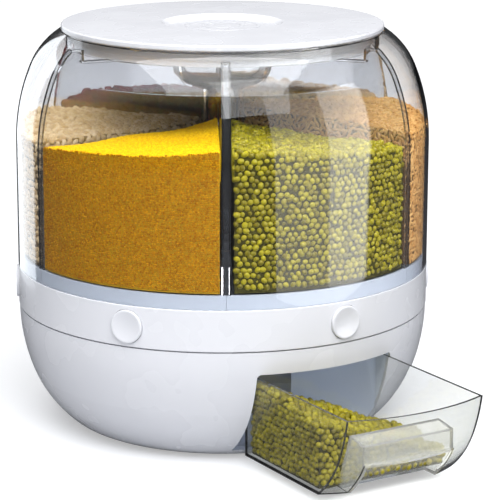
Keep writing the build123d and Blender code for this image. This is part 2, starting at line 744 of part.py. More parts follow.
with BuildPart() as column_head:
    with BuildSketch(Plane.XZ):
        with BuildLine():
            rim_out, foot_out = head_curve()
            rim_in, foot_in = head_curve(inset=column_wall)
            Line(rim_out, rim_in)
            Polyline(foot_out, (column_r, head_seat_z), (0, head_seat_z), (0, foot_in.Y), foot_in)
        make_face()
    revolve(axis=Axis.Z)
    with BuildSketch(Plane.XY.offset(head_seat_z)):
        Circle(column_r - column_wall - 0.1)
        Circle(column_r - 2 * column_wall, mode=Mode.SUBTRACT)
    extrude(amount=-head_spigot)
column_head.part.label = "column_head"
export_step(column_head.part, "parts/column_head.step")

# Dividers: clear double walls, open below, that follow the dome, the column and the floor
divider_thick = 6.4
divider_skin = 1.4
divider_top_z = 280.0
divider_notch_z = neck_z - neck_depth - 4.0
divider_inset = clear_wall + 0.4
trim_r = neck_bore_r + clear_wall + 1
trim_h = 40.0           # height of the blocks that trim a divider's top
for number, angle in enumerate(divider_angles, start=1):
    with BuildPart() as divider:
        with BuildSketch(radial_plane(angle)) as panel:
            with BuildLine():
                wall_low, wall_high = shoulder_curve(inset=divider_inset)
                Polyline(
                    wall_high,
                    (column_r + fit_gap, wall_high.Y),
                    (column_r + fit_gap, rim_top_z + fit_gap),
                    (knee_r, rim_top_z + fit_gap),
                    (outlet_r - valley_half, outlet_floor_z + fit_gap),
                    (outlet_r + valley_half, outlet_floor_z + fit_gap),
                    (rim_r - rim_wall - fit_gap, rim_top_z + fit_gap),
                    (body_r - divider_inset, rim_top_z + fit_gap),
                    wall_low,
                )
            make_face()
            with Locations((0, divider_notch_z)):
                Rectangle(trim_r, trim_h, align=(Align.MIN, Align.MIN), mode=Mode.SUBTRACT)
            with Locations((0, divider_top_z)):
                Rectangle(body_r, trim_h, align=(Align.MIN, Align.MIN), mode=Mode.SUBTRACT)
            with BuildLine():
                rim_clear, foot_clear = head_curve(inset=-0.4)
                Polyline(
                    foot_clear,
                    (column_r + fit_gap, head_seat_z - 0.4),
                    (0, head_seat_z - 0.4),
                    (0, head_top_z),
                    rim_clear,
                )
            make_face(mode=Mode.SUBTRACT)
        extrude(amount=divider_thick / 2, both=True)
        with BuildSketch(radial_plane(angle)):
            with Locations((0, 0), (0, -2 * divider_skin)):
                add(offset(panel.sketch_local, amount=-divider_skin, mode=Mode.PRIVATE))
        extrude(amount=divider_thick / 2 - divider_skin, both=True, mode=Mode.SUBTRACT)
    divider.part.label = f"divider_{number}"
    export_step(divider.part, f"parts/divider_{number}.step")

# Lid: round plate with a shallow dish and a skirt that carries the gasket
lid_r = neck_outer_r
lid_thick = 4.3
lid_z = neck_z + 0.2
lid_top_z = lid_z + lid_thick
skirt_r = neck_bore_r - 3.6
skirt_wall = 2.4
skirt_depth = 12.0
dish_r = 38.0
dish_depth = 2.6
dish_slope = 6.0
lid_edge = 1.2          # rounding of the lid's edge
gasket_z = lid_z - 7.0
gasket_h = 3.5
with BuildPart() as lid:
    with BuildSketch(Plane.XZ):
        with BuildLine():
            Polyline(
                (0, lid_z),
                (skirt_r - skirt_wall, lid_z),
                (skirt_r - skirt_wall, lid_z - skirt_depth),
                (skirt_r, lid_z - skirt_depth),
                (skirt_r, lid_z),
                (lid_r, lid_z),
                (lid_r, lid_top_z),
                (dish_r + dish_slope, lid_top_z),
                (dish_r, lid_top_z - dish_depth),
                (0, lid_top_z - dish_depth),
                close=True,
            )
        make_face()
    revolve(axis=Axis.Z)
    fillet(lid.edges().filter_by(GeomType.CIRCLE).filter_by(lambda e: abs(e.radius - lid_r) < 0.01), lid_edge)
lid.part.label = "lid"
export_step(lid.part, "parts/lid.step")

with BuildPart() as lid_gasket:
    with BuildSketch(Plane.XY.offset(gasket_z)):
        Circle(neck_bore_r - fit_gap)
        Circle(skirt_r, mode=Mode.SUBTRACT)
    extrude(amount=gasket_h)
lid_gasket.part.label = "lid_gasket"
export_step(lid_gasket.part, "parts/lid_gasket.step")

# Drawer, drawn pulled out: its own axis lies drawer_out in front of the body's
drawer_axis = Axis((0, -drawer_out, 0), (0, 0, 1))
drawer_y_rear = -drawer_out - drawer_rear
grip_half_w = 36.0
grip_wall = 1.8


def bowl_outline(inset):
    """Draws half of the bowl's solid form, inset by a distance, closed along its axis."""
    curve_top, curve_foot = bowl_curve(inset=inset)
    Polyline(curve_top, (0, seam_z), (0, curve_foot.Y), curve_foot)


def drawer_outline(inset):
    """Draws the drawer's plan behind its front, inset by a distance."""
    Polyline(
        (-drawer_half_w + inset, drawer_y_rear - inset),
        (drawer_half_w - inset, drawer_y_rear - inset),
        (drawer_half_w - inset, -drawer_out - body_r),
        (-drawer_half_w + inset, -drawer_out - body_r),
        close=True,
    )


with BuildPart() as drawer_hollow:
    with BuildSketch(Plane.XZ.offset(drawer_out)):
        with BuildLine():
            bowl_outline(drawer_inset + drawer_wall)
        make_face()
    revolve(axis=drawer_axis)
    with BuildSketch(Plane.XY.offset(drawer_floor_z + drawer_wall)):
        with BuildLine():
            drawer_outline(drawer_wall)
        make_face()
    extrude(amount=drawer_top_z, mode=Mode.INTERSECT)

# Side view of the finger recess: distances outward from the drawer's own axis, and heights
recess_back_low_x = body_r - 50.0
recess_back_x = body_r - 36.0
recess_back_z = 47.0
recess_front_x = body_r - 24.0
recess_front_z = 44.5
recess_mouth_z = 31.5


def recess_outline(grow=0.0):
    """Draws the recess in side view, open to the front and below."""
    Polyline(
        (recess_back_low_x - grow, drawer_floor_z),
        (recess_back_x - grow, recess_back_z + grow),
        (recess_front_x + grow, recess_front_z + grow),
        (recess_front_x + grow, recess_mouth_z + grow),
        (body_r, recess_mouth_z + grow),
        (body_r, drawer_floor_z),
        close=True,
    )


slide_plane = Plane(origin=(0, -drawer_out, 0), x_dir=(0, -1, 0), z_dir=(-1, 0, 0))
with BuildPart() as drawer_tray:
    with BuildSketch(Plane.XZ.offset(drawer_out)):
        with BuildLine():
            bowl_outline(drawer_inset)
        make_face()
    revolve(axis=drawer_axis)
    with BuildSketch(Plane.XY.offset(drawer_floor_z)):
        with BuildLine():
            drawer_outline(0)
        make_face()
    extrude(amount=drawer_top_z - drawer_floor_z, mode=Mode.INTERSECT)
    add(drawer_hollow.part, mode=Mode.SUBTRACT)
    with BuildSketch(Plane.XY.offset(drawer_top_z)):
        with Locations((0, drawer_y_rear)):
            Rectangle(2 * stop_half_w, drawer_wall, align=(Align.CENTER, Align.MAX))
    extrude(amount=stop_tab_h)
    with BuildSketch(slide_plane):
        with BuildLine():
            recess_outline(grip_wall + glue_gap)
        make_face()
    extrude(amount=grip_half_w + glue_gap, both=True, mode=Mode.SUBTRACT)
drawer_tray.part.label = "drawer_tray"
export_step(drawer_tray.part, "parts/drawer_tray.step")

# Finger grip: pocket let into the drawer's front, open in front and below
with BuildPart() as finger_grip:
    with BuildSketch(slide_plane):
        with BuildLine():
            recess_outline(grip_wall)
        make_face()
    extrude(amount=grip_half_w, both=True)
    with BuildSketch(slide_plane):
        with BuildLine():
            recess_outline()
        make_face()
    extrude(amount=grip_half_w - grip_wall, both=True, mode=Mode.SUBTRACT)
    with BuildSketch(Plane.XZ.offset(drawer_out)):
        with BuildLine():
            bowl_outline(drawer_inset)
        make_face()
    revolve(axis=drawer_axis, mode=Mode.INTERSECT)
finger_grip.part.label = "finger_grip"
export_step(finger_grip.part, "parts/finger_grip.step")
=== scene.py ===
import json
from math import cos, radians, sin

import bpy
import numpy as np
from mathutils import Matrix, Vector


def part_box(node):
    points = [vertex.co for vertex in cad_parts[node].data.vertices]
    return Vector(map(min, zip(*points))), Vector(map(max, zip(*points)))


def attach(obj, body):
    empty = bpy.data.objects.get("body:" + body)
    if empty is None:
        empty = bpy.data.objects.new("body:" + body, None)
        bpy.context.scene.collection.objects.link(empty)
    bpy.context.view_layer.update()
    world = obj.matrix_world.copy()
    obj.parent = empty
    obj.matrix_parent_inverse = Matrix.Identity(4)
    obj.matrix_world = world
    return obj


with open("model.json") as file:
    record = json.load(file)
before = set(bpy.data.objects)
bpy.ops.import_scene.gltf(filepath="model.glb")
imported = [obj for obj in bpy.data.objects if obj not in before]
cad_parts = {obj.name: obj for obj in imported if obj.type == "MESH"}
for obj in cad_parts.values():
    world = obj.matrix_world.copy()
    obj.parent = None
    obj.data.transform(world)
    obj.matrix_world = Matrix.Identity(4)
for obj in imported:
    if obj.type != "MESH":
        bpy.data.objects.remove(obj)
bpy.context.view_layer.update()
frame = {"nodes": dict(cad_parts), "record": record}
nodes = frame["nodes"]
mm = 0.001

# Thicknesses, in millimetres
dome_wall = 2.6
tray_wall = 2.0
dish_depth = 2.6

# Places taken from the frame, in millimetres
wall_inner_r = nodes["dome_shell"].dimensions.x / 2 / mm - dome_wall
column_r = nodes["center_column"].dimensions.x / 2 / mm
rim_top_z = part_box("center_column")[0][2] / mm
tray_low, tray_high = [[v / mm for v in corner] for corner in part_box("drawer_tray")]
lid_top_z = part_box("lid")[1][2] / mm
half_compartment = radians(30.0)


def clear_selection():
    """Leaves nothing selected, so that an operator reaches only what it is given."""
    for obj in bpy.context.selected_objects:
        obj.select_set(False)


# Materials
def new_material(name):
    """A material with its Principled shader and output, and a shortcut to its nodes."""
    material = bpy.data.materials.new(name)
    material.use_nodes = True
    tree = material.node_tree
    return material, tree, tree.nodes["Principled BSDF"]


def build_moulded_grain():
    """Node group: fine unevenness of a moulded surface, as a value around 0.5 and a height."""
    group = bpy.data.node_groups.new("moulded_grain", "ShaderNodeTree")
    group.interface.new_socket("Vector", in_out="INPUT", socket_type="NodeSocketVector")
    group.interface.new_socket("Fine Scale", in_out="INPUT", socket_type="NodeSocketFloat")
    group.interface.new_socket("Broad Scale", in_out="INPUT", socket_type="NodeSocketFloat")
    group.interface.new_socket("Broad", in_out="OUTPUT", socket_type="NodeSocketFloat")
    group.interface.new_socket("Height", in_out="OUTPUT", socket_type="NodeSocketFloat")
    entry = group.nodes.new("NodeGroupInput")
    leave = group.nodes.new("NodeGroupOutput")
    fine = group.nodes.new("ShaderNodeTexNoise")
    broad = group.nodes.new("ShaderNodeTexNoise")
    fine.inputs["Detail"].default_value = 3.0
    broad.inputs["Detail"].default_value = 2.0
    for texture, scale in ((fine, "Fine Scale"), (broad, "Broad Scale")):
        group.links.new(entry.outputs["Vector"], texture.inputs["Vector"])
        group.links.new(entry.outputs[scale], texture.inputs["Scale"])
    group.links.new(broad.outputs["Fac"], leave.inputs["Broad"])
    group.links.new(fine.outputs["Fac"], leave.inputs["Height"])
    return group


moulded_grain = build_moulded_grain()


def add_grain(tree, shader, fine_scale, broad_scale, rough_low, rough_high, bump):
    """Roughness and a faint relief from the moulded grain, and its broad value for the colour."""
    place = tree.nodes.new("ShaderNodeTexCoord")
    grain = tree.nodes.new("ShaderNodeGroup")
    grain.node_tree = moulded_grain
    grain.inputs["Fine Scale"].default_value = fine_scale
    grain.inputs["Broad Scale"].default_value = broad_scale
    tree.links.new(place.outputs["Object"], grain.inputs["Vector"])
    rough = tree.nodes.new("ShaderNodeMapRange")
    rough.inputs["To Min"].default_value = rough_low
    rough.inputs["To Max"].default_value = rough_high
    tree.links.new(grain.outputs["Broad"], rough.inputs["Value"])
    tree.links.new(rough.outputs["Result"], shader.inputs["Roughness"])
    relief = tree.nodes.new("ShaderNodeBump")
    relief.inputs["Strength"].default_value = bump
    relief.inputs["Distance"].default_value = 0.0001
    tree.links.new(grain.outputs["Height"], relief.inputs["Height"])
    tree.links.new(relief.outputs["Normal"], shader.inputs["Normal"])
    return grain.outputs["Broad"]


def colour_between(tree, shader, value, first, second):
    """Base colour that runs from the first to the second with the value."""
    mix = tree.nodes.new("ShaderNodeMix")
    mix.data_type = "RGBA"
    mix.inputs["A"].default_value = (*first, 1)
    mix.inputs["B"].default_value = (*second, 1)
    tree.links.new(value, mix.inputs["Factor"])
    tree.links.new(mix.outputs["Result"], shader.inputs["Base Color"])


def moulded_plastic(name, first, second, rough_low, rough_high, bump=0.12, coat=0.0):
    """Opaque moulded plastic with a faint unevenness."""
    material, tree, shader = new_material(name)
    broad = add_grain(tree, shader, 2600, 28, rough_low, rough_high, bump)
    colour_between(tree, shader, broad, first, second)
    shader.inputs["Coat Weight"].default_value = coat
    shader.inputs["Coat Roughness"].default_value = 0.06
    return material


def clear_moulding(name, first, second, rough_low, rough_high, shade, clear):
    """Clear plastic that lets the light through to what stands behind it."""
    material, tree, shader = new_material(name)
    broad = add_grain(tree, shader, 300, 14, rough_low, rough_high, 0.02)
    colour_between(tree, shader, broad, first, second)
    shader.inputs["Transmission Weight"].default_value = clear
    shader.inputs["IOR"].default_value = 1.57
    path = tree.nodes.new("ShaderNodeLightPath")
    pass_light = tree.nodes.new("ShaderNodeBsdfTransparent")
    pass_light.inputs["Color"].default_value = (*shade, 1)
    blend = tree.nodes.new("ShaderNodeMixShader")
    tree.links.new(path.outputs["Is Shadow Ray"], blend.inputs["Fac"])
    tree.links.new(shader.outputs["BSDF"], blend.inputs[1])
    tree.links.new(pass_light.outputs["BSDF"], blend.inputs[2])
    tree.links.new(blend.outputs["Shader"], tree.nodes["Material Output"].inputs["Surface"])
    return material


def gap_material(name, colour):
    """What shows between the grains: the same food in shade."""
    material, tree, shader = new_material(name)
    broad = add_grain(tree, shader, 900, 60, 0.8, 0.95, 0.3)
    colour_between(tree, shader, broad, [c * 0.7 for c in colour], colour)
    return material


def grain_material(name, dark, light, spot, roughness, shine=0.4):
    """Dry food: a tone for each grain, mottled a little, and darker in places."""
    material, tree, shader = new_material(name)
    tone = tree.nodes.new("ShaderNodeAttribute")
    tone.attribute_name = "tone"
    place = tree.nodes.new("ShaderNodeTexCoord")
    mottle = tree.nodes.new("ShaderNodeTexNoise")
    mottle.inputs["Scale"].default_value = 420
    mottle.inputs["Detail"].default_value = 3.0
    tree.links.new(place.outputs["Object"], mottle.inputs["Vector"])
    ramp = tree.nodes.new("ShaderNodeValToRGB")
    ramp.color_ramp.elements[0].color = (*dark, 1)
    ramp.color_ramp.elements[1].color = (*light, 1)
    tree.links.new(tone.outputs["Fac"], ramp.inputs["Fac"])
    patch = tree.nodes.new("ShaderNodeMapRange")
    patch.inputs["From Min"].default_value = 0.45
    patch.inputs["From Max"].default_value = 0.8
    patch.inputs["To Max"].default_value = 0.6
    tree.links.new(mottle.outputs["Fac"], patch.inputs["Value"])
    mix = tree.nodes.new("ShaderNodeMix")
    mix.data_type = "RGBA"
    mix.inputs["B"].default_value = (*spot, 1)
    tree.links.new(patch.outputs["Result"], mix.inputs["Factor"])
    tree.links.new(ramp.outputs["Color"], mix.inputs["A"])
    tree.links.new(mix.outputs["Result"], shader.inputs["Base Color"])
    relief = tree.nodes.new("ShaderNodeBump")
    relief.inputs["Strength"].default_value = 0.2
    relief.inputs["Distance"].default_value = 0.0002
    tree.links.new(mottle.outputs["Fac"], relief.inputs["Height"])
    tree.links.new(relief.outputs["Normal"], shader.inputs["Normal"])
    shader.inputs["Roughness"].default_value = roughness
    shader.inputs["Specular IOR Level"].default_value = shine
    return material


white_plastic = moulded_plastic(
    "white_plastic", (0.80, 0.81, 0.86), (0.84, 0.85, 0.89), 0.22, 0.32, coat=0.3)
# Painted shade: the hoppers' white plastic is given the blue-grey it shows in shade
shaded_hopper_plastic = moulded_plastic("shaded_hopper_plastic", (0.50, 0.55, 0.65), (0.54, 0.59, 0.68), 0.25, 0.35)
inner_plastic = moulded_plastic("inner_plastic", (0.60, 0.62, 0.67), (0.66, 0.68, 0.72), 0.38, 0.5)
rubber = moulded_plastic("soft_rubber", (0.06, 0.06, 0.065), (0.09, 0.09, 0.095), 0.7, 0.85, 0.3)
silicone = moulded_plastic("silicone", (0.62, 0.60, 0.60), (0.70, 0.68, 0.68), 0.45, 0.6)
steel = moulded_plastic("zinc_plated_steel", (0.52, 0.52, 0.54), (0.62, 0.62, 0.63), 0.28, 0.42, 0.2)
steel.node_tree.nodes["Principled BSDF"].inputs["Metallic"].default_value = 1.0
# The tunnel's light tone and faint blue glow are painted light, standing in for light that passes through
# the white base
tunnel_plastic = moulded_plastic("tunnel_plastic", (0.74, 0.77, 0.84), (0.78, 0.81, 0.87), 0.3, 0.4)
tunnel_shader = tunnel_plastic.node_tree.nodes["Principled BSDF"]
tunnel_shader.inputs["Emission Color"].default_value = (0.68, 0.80, 1.0, 1)
tunnel_shader.inputs["Emission Strength"].default_value = 0.14
clear_wall = clear_moulding(
    "clear_wall", (0.98, 0.99, 1.0), (0.99, 0.99, 1.0), 0.0, 0.02, (0.98, 0.99, 0.99), 1.0)
clear_inner = clear_moulding(
    "clear_inner", (0.96, 0.98, 0.99), (0.98, 0.99, 1.0), 0.0, 0.01, (0.95, 0.96, 0.97), 0.99)
clear_head = clear_moulding(
    "clear_head", (0.80, 0.82, 0.84), (0.84, 0.86, 0.88), 0.0, 0.01, (0.93, 0.94, 0.95), 0.99)
clear_panel = clear_moulding(
    "clear_panel", (0.91, 0.92, 0.94), (0.93, 0.94, 0.96), 0.0, 0.0, (0.98, 0.98, 0.99), 0.99)
clear_drawer = clear_moulding(
    "clear_drawer", (0.95, 0.96, 0.95), (0.97, 0.98, 0.97), 0.0, 0.008, (0.94, 0.95, 0.94), 0.985)
clear_grip = clear_moulding(
    "clear_grip", (0.95, 0.95, 0.93), (0.98, 0.98, 0.96), 0.0, 0.02, (0.92, 0.92, 0.90), 0.86)

slot_material = {
    "white_plastic": white_plastic,
    "clear_plastic": clear_inner,
    "inner_plastic": inner_plastic,
    "steel": steel,
    "silicone": silicone,
    "rubber": rubber,
}
for row in frame["record"]["subparts"]:
    nodes[row["node"]].data.materials.clear()
    nodes[row["node"]].data.materials.append(slot_material[row["material_slot"]])
nodes["dome_shell"].data.materials[0] = clear_wall
nodes["column_head"].data.materials[0] = clear_head
nodes["drawer_tunnel"].data.materials[0] = tunnel_plastic
for number in range(1, 7):
    nodes[f"hopper_{number}"].data.materials[0] = shaded_hopper_plastic
    nodes[f"divider_{number}"].data.materials[0] = clear_panel
nodes["drawer_tray"].data.materials[0] = clear_drawer
nodes["finger_grip"].data.materials[0] = clear_grip


# Dry food: a body with the heap's form, and single grains on all that shows
size_spread = 0.1       # share by which grains of one food differ in size
pressed_tilt = 0.12     # how far grains lean that lie against a wall
loose_tilt = 0.35       # how far grains lean on top of a heap
row_ratio = 0.866       # distance of a honeycomb's rows to the distance in a row
clearance = 0.3         # between grains and the wall they lie against


def grain_shape(segments, rings, size):
    """Vertices and faces of one grain, modelled as a sphere drawn out to its size in millimetres."""
    clear_selection()
    bpy.ops.mesh.primitive_uv_sphere_add(segments=segments, ring_count=rings, radius=0.5)
    grain = bpy.context.object
    grain.scale = size
    bpy.ops.object.transform_apply(location=False, rotation=False, scale=True)
    points = np.array([v.co for v in grain.data.vertices])
    faces = [tuple(p.vertices) for p in grain.data.polygons]
    bpy.data.objects.remove(grain)
    return points, faces


def new_piece(name, verts, faces, material):
    """An object from vertices in millimetres and faces, with its material."""
    mesh = bpy.data.meshes.new(name)
    mesh.from_pydata((np.array(verts) * mm).tolist(), [], faces)
    mesh.materials.append(material)
    piece = bpy.data.objects.new(name, mesh)
    bpy.context.scene.collection.objects.link(piece)
    return piece


def closed_faces(columns, rows, turned):
    """Faces of a body with a grid of points on top and the same grid below, row by row."""
    below = columns * rows
    faces = []
    for j in range(rows - 1):
        for i in range(columns - 1):
            a = j * columns + i
            quad = (a, a + 1, a + columns + 1, a + columns)
            if turned:
                quad = (a, a + columns, a + columns + 1, a + 1)
            faces.append(quad)
            faces.append(tuple(v + below for v in reversed(quad)))
    edge = list(range(columns)) + [j * columns + columns - 1 for j in range(1, rows)]
    edge += [(rows - 1) * columns + i for i in range(columns - 2, -1, -1)]
    edge += [j * columns for j in range(rows - 2, 0, -1)]
    for a, b in zip(edge, edge[1:] + edge[:1]):
        faces.append((a, b, b + below, a + below) if turned else (b, a, a + below, b + below))
    return faces


def lay_grains(name, shape, spots, normals, rng, tilt, material, body):
    """One piece of many grains, each lying on its spot, turned at random about the surface's normal."""
    points, faces = shape
    count = len(spots)
    normals = normals + rng.normal(0, tilt, normals.shape)
    normals /= np.linalg.norm(normals, axis=1)[:, None]
    along = rng.normal(0, 1, normals.shape)
    along -= normals * np.sum(along * normals, axis=1)[:, None]
    along /= np.linalg.norm(along, axis=1)[:, None]
    across = np.cross(normals, along)
    size = rng.uniform(1 - size_spread, 1 + size_spread, count)[:, None, None]
    local = points[None, :, :] * size
    placed = (local[:, :, 0:1] * along[:, None, :] + local[:, :, 1:2] * across[:, None, :]
              + local[:, :, 2:3] * normals[:, None, :] + spots[:, None, :])
    all_faces = [tuple(i + n * len(points) for i in face) for n in range(count) for face in faces]
    piece = new_piece(name, placed.reshape(-1, 3), all_faces, material)
    mesh = piece.data
    tone = mesh.attributes.new("tone", "FLOAT", "POINT")
    tone.data.foreach_set("value", np.repeat(rng.uniform(0, 1, count), len(points)).astype(np.float32))
    mesh.polygons.foreach_set("use_smooth", [True] * len(mesh.polygons))
    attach(piece, body)


def spread(width, height, step, rng, jitter=0.22):
    """Spots over a rectangle in a loose honeycomb."""
    rows = int(height / (step * row_ratio)) + 1
    spots = []
    for row in range(rows):
        start = step * (0.25 if row % 2 else 0.75)
        for x in np.arange(start, width, step):
            spots.append((x, (row + 0.5) * step * row_ratio))
    spots = np.array(spots)
    spots += rng.normal(0, jitter * step / 2, spots.shape)
    return spots[(spots[:, 0] > 0) & (spots[:, 0] < width) & (spots[:, 1] < height)]


divider_gap = 3.7       # from a divider's middle to the food
heap_steps = 24
shown_depth = 20.0      # how far down the grains go beside a divider
wall_height = 140.0     # more than the highest heap stands over the floor


def heap_height(food, r, turn):
    """Height of a heap at a radius and at a turn from the middle of its compartment."""
    inward = 1 - (r / wall_inner_r) ** 1.6
    wave = 1.2 * sin(turn * 5.0 + food["seed"]) + 0.8 * sin(r * 0.09 + food["seed"] * 2)
    return food["wall_z"] + food["rise"] * inward + food["lean"] * turn * 12 + wave


def food_body(food):
    """Closed body of a compartment's filling, just inside its grains."""
    inset = food["size"][2] * 0.42
    outer_r = wall_inner_r - inset - 0.2
    inner_r = column_r + inset + 0.3
    middle = radians(food["angle"])
    verts = []
    for r in np.linspace(inner_r, outer_r, heap_steps):
        reach = half_compartment - np.arcsin((divider_gap + inset) / r)
        for turn in np.linspace(-reach, reach, heap_steps):
            spot = (r * cos(middle + turn), r * sin(middle + turn))
            verts.append((*spot, heap_height(food, r, turn) - inset))
    verts += [(x, y, rim_top_z + 1.2) for x, y, z in verts]
    faces = closed_faces(heap_steps, heap_steps, True)
    piece = new_piece(food["name"] + "_body", verts, faces, food["gaps"])
    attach(piece, "turntable")


def food_grains(food):
    """Grains against the clear wall, over the top of the heap and beside its dividers."""
    rng = np.random.default_rng(food["seed"])
    shape = grain_shape(food["segments"], food["rings"], food["size"])
    middle = radians(food["angle"])
    half = food["size"][2] / 2
    wall_r = wall_inner_r - half - clearance
    reach = half_compartment - np.arcsin((divider_gap + half) / wall_r)
    flat = spread(2 * reach * wall_r, wall_height, food["step"], rng)
    turn = flat[:, 0] / wall_r - reach
    z = rim_top_z + 1.5 + half + flat[:, 1]
    top = np.array([heap_height(food, wall_r, t) for t in turn])
    keep = z < top
    turn, z = turn[keep], z[keep]
    r = wall_r - np.abs(rng.normal(0, 0.12 * food["size"][2], len(z)))
    normals = np.stack([np.cos(middle + turn), np.sin(middle + turn), 0 * turn], axis=1)
    spots = np.stack([r * normals[:, 0], r * normals[:, 1], z], axis=1)
    lay_grains(food["name"] + "_at_wall", shape, spots, normals, rng, pressed_tilt,
               food["pressed"], "turntable")

    flat = spread(2 * wall_r, 2 * wall_r, food["step"], rng) - wall_r
    r = np.hypot(flat[:, 0], flat[:, 1])
    turn = np.arctan2(flat[:, 1], flat[:, 0])
    least_r = 12.0
    beside = (divider_gap + half) / np.maximum(r, least_r)
    limit = half_compartment - np.arcsin(np.clip(beside, 0, 1))
    keep = (r > column_r + half + 0.5) & (r < wall_r) & (np.abs(turn) < limit)
    r, turn = r[keep], turn[keep]
    z = np.array([heap_height(food, a, t) for a, t in zip(r, turn)]) - half * 0.6
    z += rng.normal(0, 0.1 * food["size"][2], len(z))
    spots = np.stack([r * np.cos(middle + turn), r * np.sin(middle + turn), z], axis=1)
    normals = np.tile(np.array([0.0, 0.0, 1.0]), (len(z), 1))
    lay_grains(food["name"] + "_on_top", shape, spots, normals, rng, loose_tilt,
               food["material"], "turntable")

    spots, normals = [], []
    for side in (-1, 1):
        edge = middle + side * half_compartment
        inward = np.array([side * sin(edge), -side * cos(edge), 0.0])
        for u, drop in spread(wall_r - column_r - half - 1.0, shown_depth, food["step"], rng):
            r = column_r + half + 0.5 + u
            turn = side * (half_compartment - np.arcsin((divider_gap + half) / r))
            z = heap_height(food, r, turn) - half - drop
            spots.append(np.array([r * cos(edge), r * sin(edge), z]) + inward * (divider_gap + half))
            normals.append(-inward)
    lay_grains(food["name"] + "_at_panels", shape, np.array(spots), np.array(normals), rng, pressed_tilt,
               food["material"], "turntable")


mung = grain_material(
    "mung_beans", (0.15, 0.13, 0.004), (0.40, 0.35, 0.013), (0.30, 0.21, 0.008), 0.3, 0.5)
millet = grain_material(
    "millet", (0.78, 0.44, 0.004), (0.98, 0.66, 0.008), (0.62, 0.30, 0.003), 0.5, 0.1)
# Painted shade: a darker, redder copy of the millet for the grains against the clear wall, which lie in
# shade
millet_pressed = grain_material(
    "millet_pressed", (0.34, 0.12, 0.002), (0.64, 0.30, 0.003), (0.30, 0.10, 0.002), 0.5, 0.1)
brown_rice = grain_material(
    "brown_rice", (0.58, 0.28, 0.07), (0.86, 0.52, 0.19), (0.48, 0.22, 0.06), 0.5)
soybeans = grain_material(
    "soybeans", (0.80, 0.50, 0.24), (0.98, 0.72, 0.42), (0.66, 0.40, 0.18), 0.35)
red_beans = grain_material(
    "red_beans", (0.16, 0.012, 0.018), (0.42, 0.04, 0.05), (0.20, 0.016, 0.02), 0.14, 0.6)
barley = grain_material(
    "barley", (0.58, 0.40, 0.20), (0.88, 0.70, 0.46), (0.42, 0.25, 0.10), 0.5)

foods = [
    {"name": "mung_beans", "angle": -90, "size": (5.2, 4.3, 4.2), "step": 4.5, "material": mung},
    {"name": "brown_rice", "angle": -30, "size": (6.6, 2.6, 2.2), "step": 3.4, "material": brown_rice},
    {"name": "soybeans", "angle": 30, "size": (8.4, 7.6, 7.2), "step": 7.2, "material": soybeans},
    {"name": "red_beans", "angle": 90, "size": (8.8, 6.2, 5.8), "step": 6.4, "material": red_beans},
    {"name": "barley", "angle": 150, "size": (6.0, 4.0, 3.4), "step": 4.4, "material": barley},
    {"name": "millet", "angle": -150, "size": (1.8, 1.65, 1.6), "step": 1.5, "material": millet},
]
# Height at the wall, rise to the column, and lean from side to side, for each heap
heaps = [(220.5, 2.0, -0.9), (224.0, 8.0, 0.0), (226.0, 11.0, 0.0), (222.0, 9.0, 0.0), (219.5, 1.0, 0.0),
         (219.5, 2.5, 1.0)]
grain_detail = {"millet": (5, 3), "brown_rice": (6, 5)}     # segments and rings, where fewer are enough
for number, food in enumerate(foods):
    food["seed"] = 11 + number
    deep = food["material"].node_tree.nodes["Color Ramp"].color_ramp.elements[0].color
    shade = 0.6 if food["name"] == "millet" else 0.35
    food["gaps"] = gap_material(food["name"] + "_gaps", [c * shade for c in deep[:3]])
    # Only the millet takes a painted-shade copy for its grains at the wall; the others keep their own
    # material
    food["pressed"] = millet_pressed if food["name"] == "millet" else food["material"]
    food["wall_z"], food["rise"], food["lean"] = heaps[number]
    food["segments"], food["rings"] = grain_detail.get(food["name"], (8, 5))
for food in foods:
    food_body(food)
    food_grains(food)


# Mung beans in the drawer: heaped high at the rear left, sloping to the front and to the right
drawer_heap_length = 84.0
drawer_height = 60.0    # more than the highest bean stands over the drawer's floor


def drawer_heap(x, y):
    """Height of the heap in the drawer, or below its floor where the drawer is bare."""
    across = (x - tray_low[0]) / (tray_high[0] - tray_low[0])
    along = (tray_high[1] - y) / (tray_high[1] - tray_low[1])
    height = 66.0 - 34.0 * across - 16.0 * along - 16.0 * across * (1 - along) * (1 - along)
    return height + 1.3 * sin(x * 0.13 + 1.0) + 1.0 * sin(y * 0.11)


